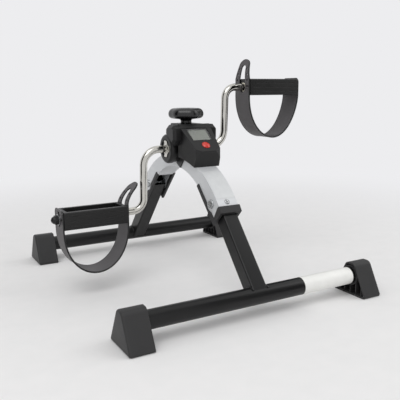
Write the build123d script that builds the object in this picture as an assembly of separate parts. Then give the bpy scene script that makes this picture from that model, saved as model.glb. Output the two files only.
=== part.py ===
from build123d import *
import math
import os

# Folding pedal exerciser: a sheet-steel arch carries the crank, the brake and the display pod,
# and two hinged legs fold inward under it. Millimetres, +Z up, -Y is the display side.
# Origin on the floor under the middle of the crank axis.

# ---- overall sizes ----
BAR_LENGTH = 410.0         # over the outer faces of the rubber feet
ARCH_TOP = 209.0           # highest point of the arch above the floor
CRANK_THROW = 97.0         # crank axis to pedal spindle axis
PEDAL_INNER = 110.0        # middle of the machine to the inner end of a pedal
PEDAL_LENGTH = 100.0

# ---- foot bars, legs and feet ----
BAR_D = 25.4
BAR_WALL = 1.2
BAR_HEIGHT = 30.0          # bar axis above the floor
LEG_SIZE = 24.0            # square leg tube
LEG_WALL = 1.5
LEG_CORNER = 2.5
LEG_ANGLE = 40.8           # from the vertical, leg unfolded
LEG_HEAD = 8.0             # leg tube past the hinge pin
FOOT_LENGTH = 34.0
FOOT_WIDTH = 68.0
FOOT_HEIGHT = 50.0
FOOT_CREST = 16.0          # flat width at the top of a foot before rounding
FOOT_WALL = 2.6
FOOT_END_WALL = 4.0
FOOT_RIB = 1.6
FOOT_CROWN_R = 9.0
FOOT_CORNER_R = 3.0
FOOT_RIM_R = 3.0
FOOT_RIB_BACK = 2.0        # ribs behind the open inner rim
WRAP_LABEL_START = 74.0    # blank label round the front bar
WRAP_LABEL_END = 166.0
LABEL_THICKNESS = 0.2

# ---- arch ----
SHEET = 1.5
LEG_GAP = 3.0              # leg tube to the inside of the sheet, each side
ARCH_WIDTH = LEG_SIZE + 2 * (LEG_GAP + SHEET)
HINGE_SPACING = 224.0      # front hinge pin to rear hinge pin
HINGE_DROP = 65.4          # hinge pins below the crown
ARCH_DEPTH = 21.0          # outer skin to inner skin at the crown
LEG_TOP_GAP = 4.5          # leg tube to the outer skin at the hinge pin
LEG_SKIN_GAP = 4.0         # leg tube to the end of the inner skin
MOUTH_OUT = LEG_SIZE / 2 + LEG_TOP_GAP
MOUTH_TOP_ALONG = 24.0     # where the outer skin ends, past the hinge pin
MOUTH_TIP_ALONG = 27.5     # where the side walls end, past the hinge pin
MOUTH_TIP_IN = 13.0
INNER_SKIN_ALONG = 39.6    # where the inner skin ends, before the hinge pin
INNER_SKIN_IN = LEG_SIZE / 2 + LEG_SKIN_GAP
TRIM_SKIN = 1.6            # rubber outside the sheet
TRIM_LINING = 1.2          # rubber inside the sheet
TRIM_BAND = 6.0            # rubber border seen on the side walls
TRIM_OUTER_BAND = 9.0
TRIM_NOTCH_R = 12.0
TRIM_PAST_SKIN = 3.5       # how far the rubber laps over the end of the inner skin
TRIM_LEG_GAP = 0.4
ARM_LABEL_LOW = 14.0       # blank label on the front arm, past the hinge pin
ARM_LABEL_LENGTH = 44.0
ARM_LABEL_MARGIN = 1.5

# ---- hinge pins ----
PIN_D = 8.0
PIN_HEAD_D = 14.0
PIN_HEAD_H = 2.6
SPACER_D = 14.0
RUNNING_FIT = 0.05         # radial clearance of every turning pin and shaft
SIDE_PLAY = 0.15

# ---- crank ----
CRANK_D = 12.0
ROD_CLEARANCE = 0.5        # crank rod above the floor of its bracket
CRANK_ARM_X = 74.0
CRANK_BEND_R = 18.0        # bends next to the pedals
AXLE_BEND_R = 25.0         # bends next to the hubs
CRANK_REST = 3.4           # degrees from the vertical as it stands
HUB_D = 47.0
HUB_INNER_D = 44.0
HUB_PLAY = 0.4             # inner face of a hub drum to the tab beside it
HUB_INNER_T = 7.3
HUB_OUTER_T = 9.5
HUB_RIM_R = 4.5
HUB_STEP_R = 1.2
HUB_RECESS_D = 30.0
HUB_RECESS = 1.6
CLIP_D = 27.0
CLIP_T = 1.2
CLIP_SLEEVE_T = 1.6
CLIP_SLEEVE_H = 4.0
CLIP_NOTCH = 5.5
CLIP_PRONGS = 4
MAGNET_D = 6.0
MAGNET_T = 3.0
MAGNET_RADIUS = 15.0
BUSH_WALL = 1.0

# ---- bracket and brake ----
BRACKET_T = 2.0
BRACKET_BASE_T = 1.5
BRACKET_HALF_Y = 16.0
BRACKET_PLAY = 0.4         # bracket to the inside of the cover, each side
SHOE_ROOM = 5.7            # above the brake shoe, under the bracket roof
SMALL_SCREW_D = 3.2
SMALL_SCREW_L = 7.0
SMALL_HEAD_D = 6.4
SMALL_HEAD_H = 1.8
BRACKET_SCREW_Y = 12.0
KNOB_Y = -5.0
SCREW_D = 8.0
SCREW_PITCH = 1.5
BRAKE_GAP = 0.3            # felt above the crank rod, brake slack
FELT_T = 4.0
SHOE_T = 3.0
FELT_SIDE = 18.0
SHOE_SIDE = 22.0
SHOE_PLAY = 0.05           # tip of the tension screw above the shoe
NUT_COLLAR_T = 2.0         # wall of the round collar under the brake nut
BRAKE_NUT_R = 7.5
BRAKE_NUT_H = 4.0
BRAKE_NUT_LIFT = 2.0
SCREW_IN_KNOB = 10.0
KNOB_D = 57.0
KNOB_H = 17.5
KNOB_NECK_D = 18.0
KNOB_NECK_H = 7.0
KNOB_LOBES = 6
KNOB_DISH_D = 36.0
KNOB_DISH_R = 60.0
KNOB_SCALLOP_R = 9.5       # finger hollows between the lobes
KNOB_SCALLOP_OUT = 6.0
KNOB_EDGE_R = 2.0
KNOB_TOP_R = 4.0
KNOB_LOW_R = 2.5

# ---- console ----
COVER_TOP = 48.0           # console top above the crown of the arch
COVER_WALL = 2.2
COVER_REAR = 22.0
COVER_OVERHANG = 1.1       # cover past the side wall of the arch
COVER_BEVEL_Y = 8.0
COVER_BEVEL_Z = 10.0
COVER_ROD_GAP = 0.8
COVER_NECK_GAP = 0.6
SHOULDER_CHAMFER = 4.0
SHOULDER_HALF = 39.0
SHOULDER_REAR = -6.0
SHOULDER_FRONT = -38.0
HUB_ROOM = 1.5             # radial room between the hub drums and the shoulders
POD_BACK = -30.0
POD_FRONT = -79.5
POD_FACE_LOW = 9.5         # lower edge of the face above the crown of the arch
POD_LIP = -71.0
POD_HALF_TOP = 28.0
POD_HALF_LOW = 21.5
POD_FRONT_FLAT = 11.7
BEZEL_T = 2.5
WINDOW_W = 32.0
WINDOW_L = 24.0
WINDOW_FROM_TOP = 12.5
WINDOW_DEPTH = 1.2
LENS_T = 1.0
BUTTON_D = 13.0
BUTTON_FROM_LOW = 13.3
BUTTON_DOME = 2.4
BUTTON_TRAVEL = 1.5
BUTTON_PLAY = 0.25
STRAP_TAB_T = 1.8
BOARD_T = 1.6
BOARD_W = 36.0
LCD_T = 2.2
BOARD_DEPTH = 6.0          # board below the bezel
CELL_D = 11.6
CELL_T = 5.4
SENSOR_T = 2.2
SENSOR_W = 3.0
SENSOR_H = 9.0
BUTTON_FLANGE_T = 1.0
BUTTON_FLANGE_W = 1.2
BUTTON_RISE = 0.6          # stem above the face, under the dome

# ---- pedals ----
PEDAL_DEPTH = 44.0
PEDAL_HEIGHT = 27.0
PEDAL_SIDE = 7.0
PEDAL_END = 6.0
PEDAL_BOSS_D = 20.0
PEDAL_BUSH_WALL = 1.5
PEDAL_BUSH_L = 14.0
PEDAL_EDGE_R = 2.0
PEDAL_RIB_T = 3.0
PEDAL_RIB_H = 14.0
PEDAL_GROOVE_PITCH = 7.0
PEDAL_GROOVE_W = 1.2
PEDAL_GROOVE_DEPTH = 0.6
STRAP_T = 2.4
STRAP_WIDTH = 42.0
STRAP_DROP = 86.0          # spindle to the bottom of the strap
STRAP_TAIL = 46.0          # spindle to the tip of the slotted tail
STRAP_TAIL_WIDTH = 24.0
TAIL_LEAN_LEFT = 25.0      # how far each loose tail has bent toward the crank arm
TAIL_LEAN_RIGHT = -8.0
STRAP_SLOT = 16.0
STRAP_HOLE_D = 3.2
PEG_D = 2.9
PEG_Y = 15.0
PEG_Z = 2.0
PEG_OUT = 2.0              # peg past the outer face of the strap
TAIL_HOLE_LOW = 12.0
TAIL_HOLE_HIGH = 21.0
TAIL_END = 11.0            # solid tip of the tail above its slot
WASHER_D = 17.0
WASHER_T = 1.4
THREAD_D = 8.0
NUT_FLATS = 13.0
NUT_HEX_H = 5.0
THREAD_LENGTH = 8.0

# ---- derived ----
SIN_LEG = math.sin(math.radians(LEG_ANGLE))
COS_LEG = math.cos(math.radians(LEG_ANGLE))
PIVOT_Y = HINGE_SPACING / 2
PIVOT_Z = ARCH_TOP - HINGE_DROP
LEG_REACH = (PIVOT_Z - BAR_HEIGHT) / COS_LEG
BAR_SPACING = HINGE_SPACING + 2 * LEG_REACH * SIN_LEG
HALF_ARCH = ARCH_WIDTH / 2
COVER_HALF = HALF_ARCH + COVER_OVERHANG
COVER_TOP_Z = ARCH_TOP + COVER_TOP
HUB_INNER_X = HALF_ARCH + STRAP_TAB_T + HUB_PLAY
HUB_STEP_X = HUB_INNER_X + HUB_INNER_T
HUB_OUTER_X = HUB_STEP_X + HUB_OUTER_T
BRACKET_INNER = COVER_HALF - COVER_WALL - BRACKET_PLAY - BRACKET_T
CRANK_Z = ARCH_TOP + BRACKET_BASE_T + ROD_CLEARANCE + CRANK_D / 2
FELT_LOW = CRANK_Z + CRANK_D / 2 + BRAKE_GAP
SHOE_LOW = FELT_LOW + FELT_T
SHOE_TOP = SHOE_LOW + SHOE_T
BRACKET_TOP = SHOE_TOP + SHOE_ROOM + BRACKET_T
KNOB_LOW = COVER_TOP_Z + KNOB_NECK_H
SPINDLE_END = PEDAL_INNER + PEDAL_LENGTH + STRAP_T
THREAD_END = SPINDLE_END + WASHER_T + THREAD_LENGTH
BUTTON_FLANGE_TOP = -BEZEL_T - 0.1
LCD_LOW = -BEZEL_T - LCD_T
BOARD_LOW = -BEZEL_T - BOARD_DEPTH
FAR = 60.0                 # reach of a cutting block past the piece it cuts
FRONT = -1
REAR = 1
LEFT = -1
RIGHT = 1


def on_leg(side, along, out):
    """Point (y, z) given past the hinge pin along the leg and outward from the leg axis."""
    y = PIVOT_Y + along * SIN_LEG + out * COS_LEG
    z = PIVOT_Z - along * COS_LEG + out * SIN_LEG
    return (side * y, z)


def arc_through(top_z, point):
    """Radius and centre height of the arc with its crown on the middle plane at top_z."""
    drop = top_z - point[1]
    radius = (point[0] ** 2 + drop ** 2) / (2 * drop)
    return radius, top_z - radius


ARCH_R, ARCH_CZ = arc_through(ARCH_TOP, on_leg(REAR, 0, MOUTH_OUT))
INNER_END = on_leg(REAR, -INNER_SKIN_ALONG, -INNER_SKIN_IN)
INNER_R, INNER_CZ = arc_through(ARCH_TOP - ARCH_DEPTH, INNER_END)


def side_slab(points, half):
    """Plate with the given (y, z) outline, as wide as twice half, about the middle plane."""
    return extrude(Plane.YZ * make_face(Polyline(*points, close=True)), half, both=True)


def x_rod(radius, x0, x1, y, z):
    """Round bar parallel to the crank axis, from x0 to x1."""
    low = min(x0, x1)
    return Pos(low, y, z) * extrude(Plane.YZ * Circle(radius), abs(x1 - x0))


def x_ring(outer, inner, x0, x1, y, z):
    return x_rod(outer, x0, x1, y, z) - x_rod(inner, x0, x1, y, z)


def arch_disc(radius, centre_z, half):
    return extrude(Plane.YZ * Pos(0, centre_z) * Circle(radius), half, both=True)


def arch_body():
    outline = []
    for side in (FRONT, REAR):
        ends = [
            on_leg(side, MOUTH_TIP_ALONG, -MOUTH_TIP_IN),
            on_leg(side, MOUTH_TOP_ALONG, MOUTH_OUT + TRIM_SKIN),
            (on_leg(side, 0, MOUTH_OUT + FAR)[0], ARCH_TOP + TRIM_SKIN),
        ]
        inner = on_leg(side, -INNER_SKIN_ALONG, -INNER_SKIN_IN)
        if side == FRONT:
            outline = [inner] + ends
        else:
            outline = outline + list(reversed(ends)) + [inner]
    body = side_slab(outline, HALF_ARCH) & arch_disc(ARCH_R, ARCH_CZ, HALF_ARCH)
    return body - arch_disc(INNER_R, INNER_CZ, HALF_ARCH)


def arch_room():
    """Hollow inside the sheet: open below each hinge, closed by the inner skin at the crown."""
    room = arch_disc(ARCH_R - SHEET, ARCH_CZ, HALF_ARCH - SHEET)
    skin = arch_disc(INNER_R + SHEET, INNER_CZ, HALF_ARCH)
    reach = INNER_END[0]
    return room - (skin & Pos(0, 0, ARCH_TOP) * Box(ARCH_WIDTH, 2 * reach, 2 * ARCH_TOP))


def pin_bores(radius):
    front = x_rod(radius, -FAR, FAR, -PIVOT_Y, PIVOT_Z)
    return front + x_rod(radius, -FAR, FAR, PIVOT_Y, PIVOT_Z)


def arch_shell():
    shell = arch_body() - arch_room() - pin_bores(PIN_D / 2)
    for y in (-BRACKET_SCREW_Y, BRACKET_SCREW_Y):
        shell -= Pos(0, y, ARCH_TOP) * Cylinder(SMALL_SCREW_D / 2, 6 * SHEET)
    return shell


def mouth_trim(side):
    outer_edge = MOUTH_OUT + TRIM_SKIN
    tip = -INNER_SKIN_ALONG - TRIM_PAST_SKIN
    points = [
        on_leg(side, tip, -INNER_SKIN_IN - TRIM_LINING),
        on_leg(side, MOUTH_TIP_ALONG + TRIM_SKIN, -MOUTH_TIP_IN - TRIM_LINING),
        on_leg(side, MOUTH_TOP_ALONG + TRIM_SKIN, outer_edge + 3),
        on_leg(side, MOUTH_TOP_ALONG - TRIM_OUTER_BAND, outer_edge + 3),
        on_leg(side, MOUTH_TOP_ALONG - TRIM_OUTER_BAND, MOUTH_OUT - 4),
        on_leg(side, MOUTH_TIP_ALONG - TRIM_BAND, -MOUTH_TIP_IN + TRIM_BAND),
        on_leg(side, tip, -INNER_SKIN_IN + TRIM_BAND - 1),
    ]
    trim = side_slab(points, HALF_ARCH + TRIM_SKIN)
    trim = trim & arch_disc(ARCH_R + TRIM_SKIN, ARCH_CZ, HALF_ARCH + TRIM_SKIN)
    leg_face = LEG_SIZE / 2 + TRIM_LEG_GAP
    inner_half = HALF_ARCH - SHEET - TRIM_LINING
    passage = [
        on_leg(side, -2 * INNER_SKIN_ALONG, -FAR),
        on_leg(side, FAR, -FAR),
        on_leg(side, FAR, leg_face),
        on_leg(side, -2 * INNER_SKIN_ALONG, leg_face),
    ]
    trim -= side_slab(passage, inner_half)
    trim -= x_rod(TRIM_NOTCH_R, -FAR, FAR, side * PIVOT_Y, PIVOT_Z)
    return trim - arch_body() + (trim & arch_room())


def fold_pin(side):
    pin = x_rod(PIN_D / 2, -HALF_ARCH, HALF_ARCH, side * PIVOT_Y, PIVOT_Z)
    for end in (LEFT, RIGHT):
        face = end * HALF_ARCH
        head = x_rod(PIN_HEAD_D / 2, face, face + end * PIN_HEAD_H, side * PIVOT_Y, PIVOT_Z)
        rim = head.edges().filter_by(GeomType.CIRCLE).sort_by(Axis.X)[-1 if end == RIGHT else 0]
        pin += fillet(rim, PIN_HEAD_H * 0.8)
    return pin


def fold_spacers(side):
    rings = []
    for end in (LEFT, RIGHT):
        x0 = end * (LEG_SIZE / 2 + SIDE_PLAY)
        x1 = end * (HALF_ARCH - SHEET)
        rings.append(x_ring(SPACER_D / 2, PIN_D / 2, x0, x1, side * PIVOT_Y, PIVOT_Z))
    return rings


def leg_tube(side):
    length = LEG_HEAD + LEG_REACH
    middle = (LEG_HEAD - LEG_REACH) / 2
    tube = Pos(0, 0, middle) * Box(LEG_SIZE, LEG_SIZE, length)
    tube = fillet(tube.edges().filter_by(Axis.Z), LEG_CORNER)
    bore = LEG_SIZE - 2 * LEG_WALL
    hollow = Pos(0, 0, middle) * Box(bore, bore, length)
    hollow = fillet(hollow.edges().filter_by(Axis.Z), LEG_CORNER - LEG_WALL)
    tube -= hollow
    tube -= x_rod(PIN_D / 2 + RUNNING_FIT, -LEG_SIZE, LEG_SIZE, 0, 0)
    tube -= x_rod(BAR_D / 2, -LEG_SIZE, LEG_SIZE, 0, -LEG_REACH)
    return Pos(0, side * PIVOT_Y, PIVOT_Z) * Rot(side * LEG_ANGLE, 0, 0) * tube


def foot_bar(side):
    end = BAR_LENGTH / 2 - FOOT_END_WALL
    return x_ring(BAR_D / 2, BAR_D / 2 - BAR_WALL, -end, end, side * BAR_SPACING / 2, BAR_HEIGHT)


def foot_outline(inset):
    """Rounded triangular foot section, shrunk all round by inset."""
    lean = math.hypot(FOOT_HEIGHT, (FOOT_WIDTH - FOOT_CREST) / 2) / FOOT_HEIGHT
    half_low = FOOT_WIDTH / 2 - inset * lean
    half_top = FOOT_CREST / 2 - inset * lean / 2
    top = FOOT_HEIGHT - inset
    corners = [(-half_low, inset), (half_low, inset), (half_top, top), (-half_top, top)]
    face = make_face(Polyline(*corners, close=True))
    crown = [v for v in face.vertices() if v.Y > FOOT_HEIGHT / 2]
    face = fillet(crown, FOOT_CROWN_R - inset)
    soles = [v for v in face.vertices() if v.Y < inset + 0.1]
    return fillet(soles, FOOT_CORNER_R)


def foot(side, end):
    outer = extrude(Plane.YZ * foot_outline(0), FOOT_LENGTH)
    socket = FOOT_LENGTH - FOOT_END_WALL
    core = extrude(Plane.YZ * foot_outline(FOOT_WALL), socket)
    shoe = outer - core
    shoe += x_rod(BAR_D / 2 + FOOT_WALL, 0, socket, 0, BAR_HEIGHT) & outer
    rib_length = FOOT_LENGTH - 2 * FOOT_RIB_BACK
    for row in (-2, -1, 0, 1, 2):
        rib = Pos(FOOT_LENGTH / 2, row * FOOT_WIDTH / 6, FOOT_HEIGHT / 2)
        shoe += (rib * Box(rib_length, FOOT_RIB, FOOT_HEIGHT)) & outer
    rim = shoe.faces().sort_by(Axis.X)[-1].outer_wire().edges()
    shoe = fillet(rim, FOOT_RIM_R)
    shoe -= x_rod(BAR_D / 2, -FAR, socket, 0, BAR_HEIGHT)
    if end == LEFT:
        shoe = mirror(shoe, Plane.YZ)
    return Pos(end * (BAR_LENGTH / 2 - FOOT_LENGTH), side * BAR_SPACING / 2, 0) * shoe


def wrap_label():
    radius = BAR_D / 2
    skin = radius + LABEL_THICKNESS
    return x_ring(skin, radius, WRAP_LABEL_START, WRAP_LABEL_END, -BAR_SPACING / 2, BAR_HEIGHT)


def arm_label():
    half = HALF_ARCH - ARM_LABEL_MARGIN
    ring = arch_disc(ARCH_R + LABEL_THICKNESS, ARCH_CZ, half) - arch_disc(ARCH_R, ARCH_CZ, half)
    middle = ARM_LABEL_LENGTH / 2 - PIVOT_Y - ARM_LABEL_LOW
    return ring & Pos(0, middle, ARCH_TOP) * Box(ARCH_WIDTH, ARM_LABEL_LENGTH, ARCH_TOP)


def crank_turn(shape):
    """Turn a crank piece from straight up and down to how the crank stands."""
    return Pos(0, 0, CRANK_Z) * Rot(CRANK_REST, 0, 0) * Pos(0, 0, -CRANK_Z) * shape


def crank_rod():
    low = CRANK_Z - CRANK_THROW
    high = CRANK_Z + CRANK_THROW
    half = CRANK_ARM_X
    left_mid = (-half, 0, CRANK_Z - CRANK_THROW / 2)
    right_mid = (half, 0, CRANK_Z + CRANK_THROW / 2)
    left = FilletPolyline((-SPINDLE_END, 0, low), (-half, 0, low), left_mid, radius=CRANK_BEND_R)
    axle = FilletPolyline(left_mid, (-half, 0, CRANK_Z), (half, 0, CRANK_Z), right_mid, radius=AXLE_BEND_R)
    right = FilletPolyline(right_mid, (half, 0, high), (SPINDLE_END, 0, high), radius=CRANK_BEND_R)
    path = Wire([*left.edges(), *axle.edges(), *right.edges()])
    start = Plane(origin=(-SPINDLE_END, 0, low), z_dir=(1, 0, 0))
    rod = sweep(start * Circle(CRANK_D / 2), path=path)
    for end, z in ((LEFT, low), (RIGHT, high)):
        rod += x_rod(THREAD_D / 2, end * SPINDLE_END, end * THREAD_END, 0, z)
    return crank_turn(rod)


def hub_disc(end):
    outer = x_rod(HUB_D / 2, HUB_STEP_X, HUB_OUTER_X, 0, CRANK_Z)
    rim = outer.edges().filter_by(GeomType.CIRCLE).sort_by(Axis.X)
    outer = fillet(rim[-1], HUB_RIM_R)
    outer = fillet(outer.edges().filter_by(GeomType.CIRCLE).sort_by(Axis.X)[0], HUB_STEP_R)
    inner = x_rod(HUB_INNER_D / 2, HUB_INNER_X, HUB_STEP_X, 0, CRANK_Z)
    disc = outer + inner
    disc -= x_rod(HUB_RECESS_D / 2, HUB_OUTER_X - HUB_RECESS, HUB_OUTER_X + 1, 0, CRANK_Z)
    disc -= x_rod(CRANK_D / 2, 0, HUB_OUTER_X + 1, 0, CRANK_Z)
    if end == LEFT:
        disc -= x_rod(MAGNET_D / 2, HUB_INNER_X - 1, HUB_INNER_X + MAGNET_T, 0, CRANK_Z + MAGNET_RADIUS)
        disc = mirror(disc, Plane.YZ)
    return crank_turn(disc)


def star_clip(end):
    seat = HUB_OUTER_X - HUB_RECESS
    clip = x_rod(CLIP_D / 2, seat, seat + CLIP_T, 0, CRANK_Z)
    sleeve = x_rod(CRANK_D / 2 + CLIP_SLEEVE_T, seat, seat + CLIP_SLEEVE_H, 0, CRANK_Z)
    notch_depth = CLIP_D / 2 - CRANK_D / 2 - CLIP_SLEEVE_T
    for turn in range(CLIP_PRONGS):
        place = Pos(seat, 0, CRANK_Z) * Rot((turn + 0.5) * 360 / CLIP_PRONGS, 0, 0)
        clip -= place * Pos(0, 0, CLIP_D / 2) * Box(4 * CLIP_T, CLIP_NOTCH, 2 * notch_depth)
    clip += sleeve
    clip -= x_rod(CRANK_D / 2, 0, HUB_OUTER_X + CLIP_SLEEVE_H, 0, CRANK_Z)
    if end == LEFT:
        clip = mirror(clip, Plane.YZ)
    return crank_turn(clip)


def hub_magnet():
    x1 = -HUB_INNER_X
    return crank_turn(x_rod(MAGNET_D / 2, x1 - MAGNET_T, x1, 0, CRANK_Z + MAGNET_RADIUS))


def axle_bracket():
    half = BRACKET_INNER + BRACKET_T
    height = BRACKET_TOP - ARCH_TOP
    bracket = Pos(0, 0, ARCH_TOP + height / 2) * Box(2 * half, 2 * BRACKET_HALF_Y, height)
    inner_h = height - BRACKET_BASE_T - BRACKET_T
    inner_z = ARCH_TOP + BRACKET_BASE_T + inner_h / 2
    bracket -= Pos(0, 0, inner_z) * Box(2 * BRACKET_INNER, 2 * BRACKET_HALF_Y, inner_h)
    bracket -= x_rod(CRANK_D / 2 + RUNNING_FIT + BUSH_WALL, -half, half, 0, CRANK_Z)
    bracket -= Pos(0, KNOB_Y, BRACKET_TOP) * Cylinder(SCREW_D / 2 + NUT_COLLAR_T, 3 * BRACKET_T)
    for y in (-BRACKET_SCREW_Y, BRACKET_SCREW_Y):
        bracket -= Pos(0, y, ARCH_TOP) * Cylinder(SMALL_SCREW_D / 2, 4 * BRACKET_BASE_T)
    return bracket


def axle_bushes():
    bore = CRANK_D / 2 + RUNNING_FIT
    bushes = []
    for end in (LEFT, RIGHT):
        outside = end * (BRACKET_INNER + BRACKET_T)
        tube = x_ring(bore + BUSH_WALL, bore, end * BRACKET_INNER, outside, 0, CRANK_Z)
        bushes.append(tube)
    return bushes


def bracket_screws():
    screws = []
    for y in (-BRACKET_SCREW_Y, BRACKET_SCREW_Y):
        seat = ARCH_TOP + BRACKET_BASE_T
        head = Pos(0, y, seat + SMALL_HEAD_H / 2) * Cylinder(SMALL_HEAD_D / 2, SMALL_HEAD_H)
        shank = Pos(0, y, seat - SMALL_SCREW_L / 2) * Cylinder(SMALL_SCREW_D / 2, SMALL_SCREW_L)
        screws.append(head + shank)
    return screws


def brake_nut():
    low = BRACKET_TOP - BRACKET_T
    seat = BRACKET_TOP + BRAKE_NUT_LIFT
    nut = Pos(0, KNOB_Y, (low + seat) / 2) * Cylinder(SCREW_D / 2 + NUT_COLLAR_T, seat - low)
    nut += Pos(0, KNOB_Y, seat) * extrude(RegularPolygon(BRAKE_NUT_R, 6), BRAKE_NUT_H)
    return nut - Pos(0, KNOB_Y, seat) * Cylinder(SCREW_D / 2 + RUNNING_FIT, FAR)


def brake_felt():
    return Pos(0, KNOB_Y / 2, FELT_LOW + FELT_T / 2) * Box(FELT_SIDE, FELT_SIDE, FELT_T)


def brake_shoe():
    return Pos(0, KNOB_Y / 2, SHOE_LOW + SHOE_T / 2) * Box(SHOE_SIDE, SHOE_SIDE, SHOE_T)


def tension_screw():
    low = SHOE_TOP + SHOE_PLAY
    high = KNOB_LOW + SCREW_IN_KNOB
    return Pos(0, KNOB_Y, (low + high) / 2) * Cylinder(SCREW_D / 2, high - low)


def tension_knob():
    radius = KNOB_D / 2
    body = Pos(0, 0, KNOB_H / 2) * Cylinder(radius, KNOB_H)
    for lobe in range(KNOB_LOBES):
        gap = Rot(0, 0, 360 / KNOB_LOBES * (lobe + 0.5)) * Pos(radius + KNOB_SCALLOP_OUT, 0, KNOB_H / 2)
        body -= gap * Cylinder(KNOB_SCALLOP_R, KNOB_H)
    body = fillet(body.edges().filter_by(Axis.Z), KNOB_EDGE_R)
    body = fillet(body.faces().sort_by(Axis.Z)[-1].outer_wire().edges(), KNOB_TOP_R)
    body = fillet(body.faces().sort_by(Axis.Z)[0].outer_wire().edges(), KNOB_LOW_R)
    dish_floor = KNOB_H - KNOB_DISH_R + math.sqrt(KNOB_DISH_R ** 2 - (KNOB_DISH_D / 2) ** 2)
    body -= Pos(0, 0, dish_floor + KNOB_DISH_R) * Sphere(KNOB_DISH_R)
    body += Pos(0, 0, -KNOB_NECK_H / 2) * Cylinder(KNOB_NECK_D / 2, KNOB_NECK_H)
    bore = Cylinder(SCREW_D / 2, SCREW_IN_KNOB + KNOB_NECK_H)
    body -= Pos(0, 0, (SCREW_IN_KNOB - KNOB_NECK_H) / 2) * bore
    return Pos(0, KNOB_Y, KNOB_LOW) * body


def over_arch(shape):
    """Trim a console shell so that it sits on the crown of the arch."""
    return shape - arch_disc(ARCH_R, ARCH_CZ, 200)


def cover_profile(inset):
    top = COVER_TOP_Z - inset
    return [
        (POD_BACK, ARCH_CZ + 100),
        (COVER_REAR - inset, ARCH_CZ + 100),
        (COVER_REAR - inset, top - COVER_BEVEL_Z),
        (COVER_REAR - COVER_BEVEL_Y - inset, top),
        (POD_BACK, top),
    ]


def base_cover():
    cover = side_slab(cover_profile(0), COVER_HALF)
    top = COVER_TOP_Z
    shoulder = [
        (SHOULDER_REAR, top - 16),
        (SHOULDER_REAR - 2, top - 5),
        (SHOULDER_REAR - 8, top - 1),
        (POD_BACK, top - 1),
        (SHOULDER_FRONT, top - 6),
        (SHOULDER_FRONT, top - 24),
        (POD_BACK, top - 33),
    ]
    wings = side_slab(shoulder, SHOULDER_HALF)
    ends = wings.edges().filter_by(Axis.X, reverse=True)
    ends = ends.filter_by(lambda e: abs(e.center().X) > SHOULDER_HALF - 1)
    wings = chamfer(ends.filter_by(lambda e: e.center().Z > top - 30), SHOULDER_CHAMFER)
    cover += wings - x_rod(HUB_D / 2 + HUB_ROOM, -FAR, FAR, 0, CRANK_Z)
    room = side_slab(cover_profile(COVER_WALL), COVER_HALF - COVER_WALL)
    wing_room = [
        (SHOULDER_REAR - 3, top - 16),
        (SHOULDER_REAR - 5, top - 6),
        (POD_BACK, top - 1 - COVER_WALL),
        (SHOULDER_FRONT + COVER_WALL, top - 9),
        (SHOULDER_FRONT + COVER_WALL, top - 23),
        (POD_BACK, top - 30),
    ]
    wing_hole = side_slab(wing_room, SHOULDER_HALF - COVER_WALL - SHOULDER_CHAMFER / 2)
    cover -= room + (wing_hole - x_rod(HUB_D / 2 + HUB_ROOM + COVER_WALL, -FAR, FAR, 0, CRANK_Z))
    cover -= pod_block(0)
    cover -= x_rod(CRANK_D / 2 + COVER_ROD_GAP, -FAR, FAR, 0, CRANK_Z)
    cover -= Pos(0, KNOB_Y, top) * Cylinder(KNOB_NECK_D / 2 + COVER_NECK_GAP, 6 * COVER_WALL)
    return over_arch(cover)


def saddle_straps():
    """Slanted tabs screwed under the console that clasp the side walls of the arch."""
    straps = []
    shells = base_cover() + console_case()
    points = [(-39, CRANK_Z - 4), (-22, CRANK_Z - 1), (-4, ARCH_TOP - 15), (-17, ARCH_TOP - 22)]
    for end in (LEFT, RIGHT):
        plate = Pos(end * (HALF_ARCH + STRAP_TAB_T / 2), 0, 0) * side_slab(points, STRAP_TAB_T / 2)
        visible = (plate - shells).solids().sort_by(Axis.Z)[0]
        straps.append(visible)
    return straps


FACE_TOP = (POD_BACK, COVER_TOP_Z)
FACE_LOW = (POD_FRONT, ARCH_TOP + POD_FACE_LOW)
FACE_LENGTH = math.dist(FACE_TOP, FACE_LOW)
FACE_DIR = ((FACE_TOP[0] - FACE_LOW[0]) / FACE_LENGTH, (FACE_TOP[1] - FACE_LOW[1]) / FACE_LENGTH)
FACE_PLANE = Plane(
    origin=(0, FACE_LOW[0], FACE_LOW[1]),
    x_dir=(1, 0, 0),
    z_dir=(0, -FACE_DIR[1], FACE_DIR[0]),
)


def pod_plan(inset):
    """Console pod seen from above: tapering forward, with a blunt bevelled nose."""
    points = [
        (-POD_HALF_TOP + inset, POD_BACK),
        (-POD_HALF_LOW + inset, POD_FRONT + 4 + inset),
        (-POD_FRONT_FLAT, POD_FRONT + inset),
        (POD_FRONT_FLAT, POD_FRONT + inset),
        (POD_HALF_LOW - inset, POD_FRONT + 4 + inset),
        (POD_HALF_TOP - inset, POD_BACK),
    ]
    return Pos(0, 0, ARCH_TOP - 40) * extrude(make_face(Polyline(*points, close=True)), 120)


def face_slab(low, high, width, start, length):
    """Block lying on the sloping face: low and high are depths along its outward normal."""
    block = Pos(0, start + length / 2, (low + high) / 2) * Box(width, length, high - low)
    return FACE_PLANE * block


def lip_height():
    """Height at which the pod's nose meets the arch."""
    return ARCH_CZ + math.sqrt(ARCH_R ** 2 - POD_LIP ** 2)


def pod_block(inset):
    lip_z = lip_height()
    points = [
        (POD_BACK, COVER_TOP_Z),
        FACE_LOW,
        (POD_LIP, lip_z),
        (POD_LIP + 5, lip_z - 8),
        (POD_BACK, ARCH_CZ + 100),
    ]
    return side_slab(points, FAR) & pod_plan(inset)


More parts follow.
